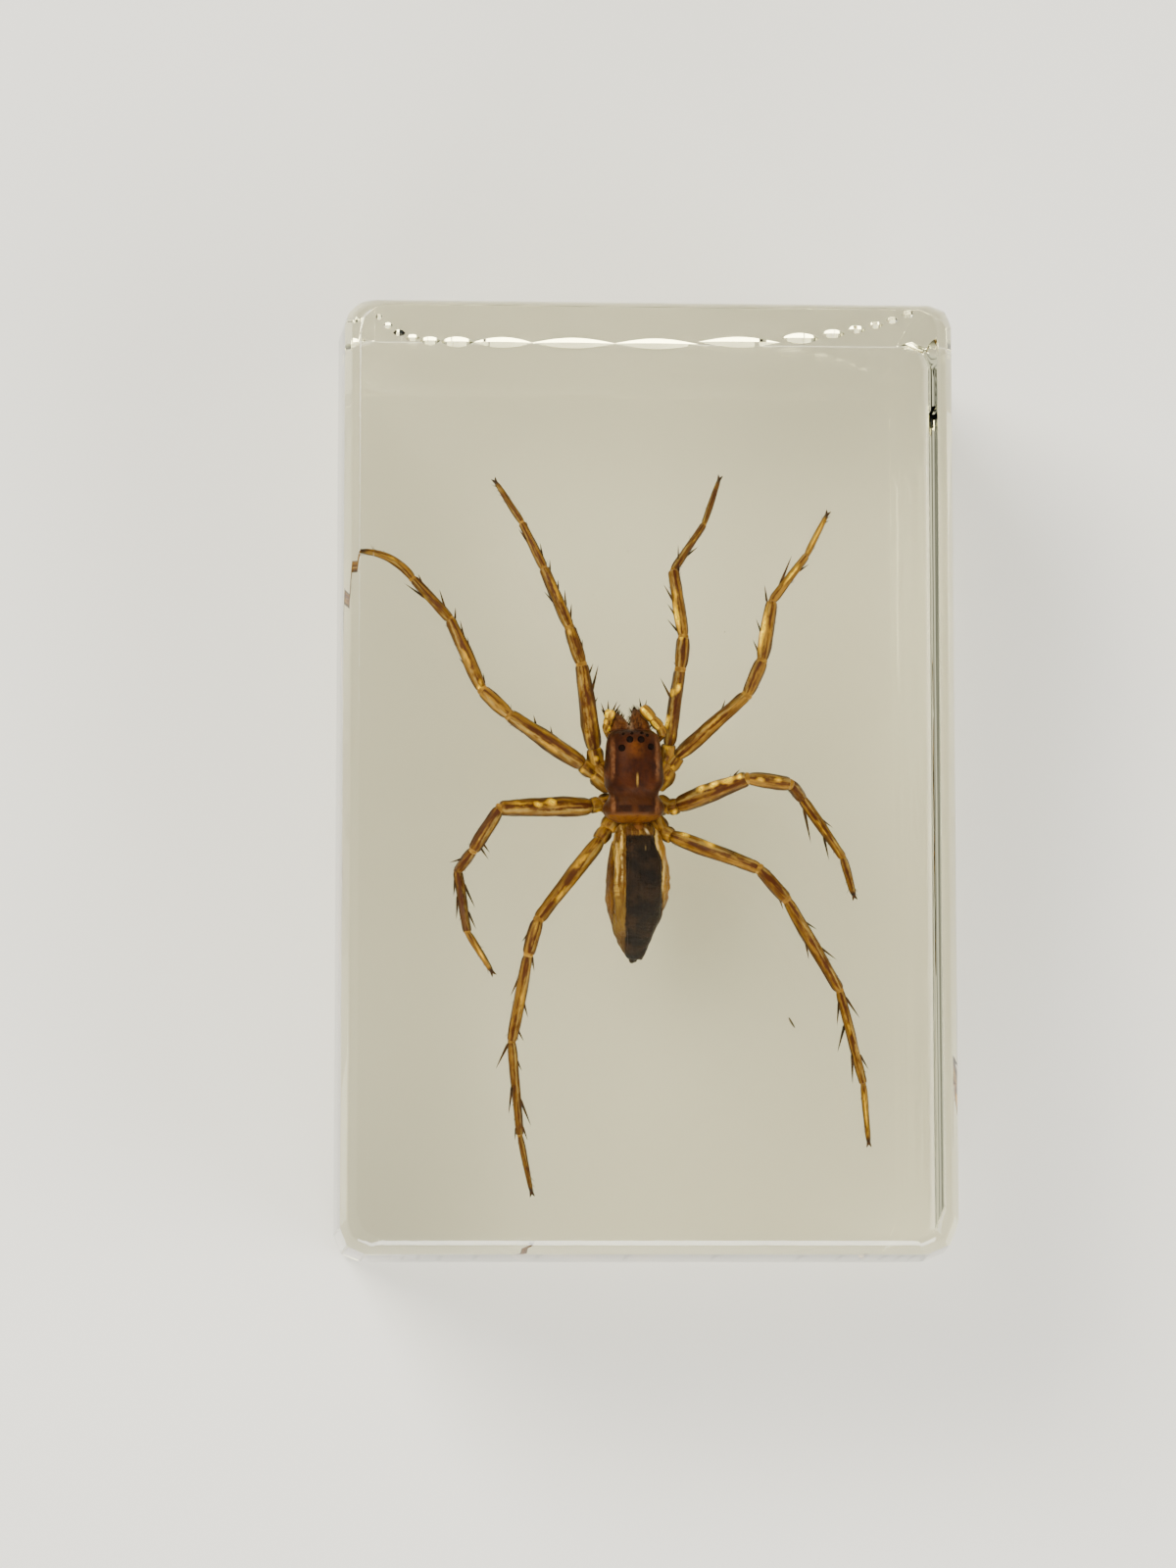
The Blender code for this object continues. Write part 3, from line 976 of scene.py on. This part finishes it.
def faceHair(lobes, draws):  # short stiff hair over the chelicerae and the palps' ends
    copies = []
    for lobe in lobes:
        points = lobe.data.vertices
        for _ in range(face["hairCount"]):
            point = points[draws.randrange(len(points))]
            direction = (point.normal + Vector((0.0, 1.1, 0.1))).normalized()
            size = draws.uniform(*face["hairLength"]), face["hairWidth"]
            copies.append(planted(downSourcePiece, point.co / mm, direction, *size))
    for palp in face["palps"].values():
        for x, y, lean in palp["bristles"]:
            direction = Vector((lean, 1.0, 0.25)).normalized()
            root = Vector((x, y, face["bristleHeight"]))
            copies.append(planted(spineSourcePiece, root, direction, *face["bristleSize"]))
    return joined("face_hair", copies)


def eyeMaterial():
    settings = {"Roughness": 0.15, "Specular IOR Level": 0.02}
    return mottled("eye_lens", settings, 4.0, 0.3, (0.004, 0.002, 0.002), (0.014, 0.006, 0.004))[0]


def taperedLobe(name, stations, sides=12, levels=2):
    rings = [(place, radius, radius) for place, radius in stations]
    return smoothed(grown(name, rings, sides), levels)


# inclusions: specks of dust and one dark sliver caught in the resin

inclusions = {
    "specks": [(-0.75, 10.86, 10.0, 0.03), (-2.43, 8.69, 11.0, 0.025), (3.91, 7.38, 7.0, 0.03)],
    "sliver": [((6.85, -10.65, 6.5), 0.03), ((6.95, -10.85, 6.5), 0.055), ((7.08, -11.05, 6.5), 0.045),
               ((7.15, -11.18, 6.5), 0.015)],
}


def inclusionPieces():
    parts = [taperedLobe("sliver", inclusions["sliver"], 6, 1)]
    for x, y, z, radius in inclusions["specks"]:
        deselectAll()
        bpy.ops.mesh.primitive_ico_sphere_add(subdivisions=1, radius=radius * mm,
                                              location=Vector((x, y, z)) * mm)
        applyPlace()
        parts.append(named("speck"))
    return joined("specks_and_sliver", parts)


def inclusionMaterial():
    dark, light = (0.03, 0.02, 0.012), (0.1, 0.07, 0.04)
    return mottled("trapped_dust", {"Roughness": 0.7}, 8.0, 0.3, dark, light)[0]


# stage, lights and camera

stage = {
    "floorSize": 3.0,        # metres
    "floorDrop": 0.05,       # mm of air under the block
    "floorColours": ((0.86, 0.83, 0.73), (0.9, 0.87, 0.77)),
    "worldColour": (0.95, 0.97, 1.0),
    "worldStrength": 1.0,
    "overheadColour": (0.045, 0.045, 0.04),    # a dark card, so the front face mirrors nothing pale
    "overheadEdge": (0.84, 0.95),              # where it starts and ends, as height on a unit sky
    "horizonColour": (0.16, 0.17, 0.18),       # a dim rim, which draws the block's edges
    "horizonEdge": (0.22, 0.06),
    "lamps": [               # name, place and size in metres, power in watts, colour
        ("key", (-0.35, 0.3, 0.5), (0.35, 0.35), 6.5, (1.0, 0.98, 0.94)),
        ("fill", (0.45, -0.2, 0.4), (0.4, 0.4), 3.0, (0.98, 0.98, 1.0)),
        ("foot", (0.0, -0.57, 0.145), (0.7, 0.16), 7.5, (1.0, 0.99, 0.96)),
    ],
}
view = {
    "place": (-0.01346, -0.02307, 0.22368),    # metres
    "aim": (-0.00286, -0.00055, 0.017),
    "lens": 105.75,          # mm
}


def buildStage():
    deselectAll()
    drop = -stage["floorDrop"] * mm
    bpy.ops.mesh.primitive_plane_add(size=stage["floorSize"], location=(0, 0, drop))
    applyPlace()
    floor = named("floor")
    material, shader, field = newMaterial("pale_floor", {"Roughness": 0.6})
    plug(objectPlace(field).clouds(0.006, 2.0).blend(*stage["floorColours"]), shader, "Base Color")
    floor.data.materials.append(material)

    world = bpy.data.worlds.new("studio")
    bpy.context.scene.world = world
    world.use_nodes = True
    sky = world.node_tree.nodes["Background"]
    sky.inputs["Strength"].default_value = stage["worldStrength"]
    height = Field(world.node_tree).made("ShaderNodeTexCoord", {}, {}, 0).part(2)
    shade = height.ramp(*stage["overheadEdge"]).blend(stage["worldColour"], stage["overheadColour"])
    shade = height.ramp(*stage["horizonEdge"]).blend(shade, stage["horizonColour"])
    plug(shade, sky, "Color")

    for name, place, size, power, colour in stage["lamps"]:
        lamp = bpy.data.lights.new(name, "AREA")
        lamp.shape = "RECTANGLE"
        lamp.size, lamp.size_y = size
        lamp.energy = power
        lamp.color = colour
        holder = bpy.data.objects.new(name, lamp)
        holder.location = place
        holder.rotation_euler = (-Vector(place)).to_track_quat("-Z", "Y").to_euler()
        addToScene(holder)


def buildCamera():
    lens = bpy.data.cameras.new("camera")
    lens.sensor_width = 36.0
    lens.lens = view["lens"]
    lens.clip_start = 0.01
    camera = bpy.data.objects.new("camera", lens)
    camera.location = view["place"]
    aim = Vector(view["aim"]) - Vector(view["place"])
    right = aim.cross(Vector((0, 1, 0))).normalized()   # the block's head end points up in the frame
    upwards = right.cross(aim).normalized()
    camera.rotation_euler = Matrix((right, upwards, -aim.normalized())).transposed().to_euler()
    addToScene(camera)
    bpy.context.scene.camera = camera


def buildSpider():
    draws = random.Random(7)
    legSkin, bristleSkin = legMaterial(), spineMaterial()
    for number, (legName, plan) in enumerate(legs.items()):
        leg, limbs = spiderLeg(legName, plan, number)
        finished(leg, legSkin)
        finished(legBristles(legName, limbs, plan, draws), bristleSkin)
    print("legs made")

    shellSkin = carapaceMaterial()
    carapace = finished(bodyPart("carapace", 24, 2, 0.8), shellSkin)
    finished(bodyPart("pedicel", 12, 1), shellSkin)
    finished(bodyPart("sternum", 16, 1), shellSkin)
    abdomen = bodyPart("abdomen", 32, 2, 0.92)
    wrinkleAbdomen(abdomen)
    abdomenSkin = abdomenMaterial()
    finished(abdomen, abdomenSkin)
    lobes = []
    for start, end, radius in body["spinnerets"]:
        tip = Vector(start).lerp(Vector(end), 0.8)
        stations = [(start, radius), (tip, radius * 0.8), (end, radius * 0.3)]
        lobes.append(taperedLobe("spinneret", stations, 8, 2))
    finished(joined("spinnerets", lobes), abdomenSkin)
    print("body made")

    finished(faceEyes(carapace), eyeMaterial())
    lobes = []
    for side in ("Left", "Right"):
        lobe = taperedLobe("chelicera_" + side.lower(), face["chelicera" + side])
        lobes.append(finished(lobe, shellSkin))
    for number, (side, plan) in enumerate(face["palps"].items()):
        pieces, limbs = limbChain(plan, (0, 1, 2, 5), 400.0 + number * 37.0)
        finished(joined("palp_" + side, pieces), legSkin)
    finished(faceHair(lobes, draws), bristleSkin)
    print("face made")


casting = finished(resinBlock(), resinMaterial())
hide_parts("resin_block")
print("block made")

spineSourcePiece, downSourcePiece = spineSource(), downSource()
buildSpider()
finished(inclusionPieces(), inclusionMaterial())
bpy.data.objects.remove(spineSourcePiece)
bpy.data.objects.remove(downSourcePiece)

buildStage()
buildCamera()
print("stage made")
